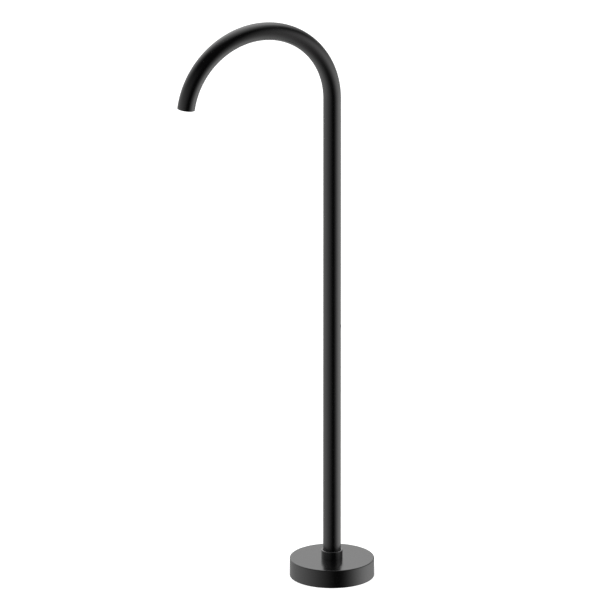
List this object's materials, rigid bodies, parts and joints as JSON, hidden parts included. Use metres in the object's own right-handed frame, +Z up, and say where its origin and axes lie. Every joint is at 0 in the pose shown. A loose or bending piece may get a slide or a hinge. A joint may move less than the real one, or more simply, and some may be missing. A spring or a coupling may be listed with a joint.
{
  "type": "floor standing bath filler",
  "caption": "Gooseneck bath spout that swivels on a floor-fixed standpipe, with a round sliding base cover and a screw-in outlet insert.",
  "frame": {"origin": "on the floor, on the axis of the riser and of the inlet thread, at the mouth of that thread", "axes": "+Z up along the riser, -Y towards the outlet, +X to the right seen from in front of the outlet"},
  "size_m": [0.1506, 0.3776, 1.0528],
  "materials": {
    "satin_black": "satin black coating on metal",
    "black_housing": "moulded black plastic",
    "blackened_steel": "blackened steel screw",
    "brass": "turned brass",
    "stainless": "drawn stainless steel",
    "plate_steel": "zinc plated steel plate",
    "rubber": "black seal rubber",
    "acetal": "natural acetal"
  },
  "bodies": {
    "base": {"floor_gasket": "rubber", "mounting_plate": "plate_steel", "inlet_body": "brass", "hub_screws": "stainless", "standpipe": "stainless", "standpipe_head": "brass", "lower_o_ring": "rubber", "upper_o_ring": "rubber", "lower_glide_ring": "acetal", "upper_glide_ring": "acetal", "thrust_washer": "acetal", "foot_bush": "acetal"},
    "column": {"spout_tube": "satin_black", "swivel_sleeve": "brass", "set_screw": "blackened_steel", "foot_ring": "brass", "outlet_socket": "brass"},
    "outlet_washer": {"outlet_seal": "rubber"},
    "outlet_insert": {"stream_housing": "black_housing", "stream_insert": "acetal", "stream_screen": "stainless"},
    "collar_grip": {"collar_o_ring": "rubber"},
    "cover": {"cover_disc": "satin_black", "cover_collar": "satin_black", "collar_nut": "brass"}
  },
  "joints": [
    {"name": "spout_swivel", "type": "hinge", "parent": "base", "child": "column", "pos_m": [0, 0, 0.4655], "axis": [0, 0, 1], "continuous": true},
    {"name": "insert_draw", "type": "slide", "parent": "column", "child": "outlet_washer", "axis": [0, -0.1392, -0.9903], "range_m": [0, 0.005]},
    {"name": "insert_turn", "type": "hinge", "parent": "outlet_washer", "child": "outlet_insert", "pos_m": [0, -0.2866, 0.91304], "axis": [0, -0.1392, -0.9903], "range_deg": [0, 1800]},
    {"name": "cover_slide", "type": "slide", "parent": "base", "child": "collar_grip", "axis": [0, 0, 1], "range_m": [0, 0.4]},
    {"name": "cover_turn", "type": "hinge", "parent": "collar_grip", "child": "cover", "pos_m": [0, 0, 0.0405], "axis": [0, 0, 1], "continuous": true}
  ],
  "couplings": [
    {"joint": "insert_draw", "follows": "insert_turn", "m_per_rad": 0.00015915}
  ]
}
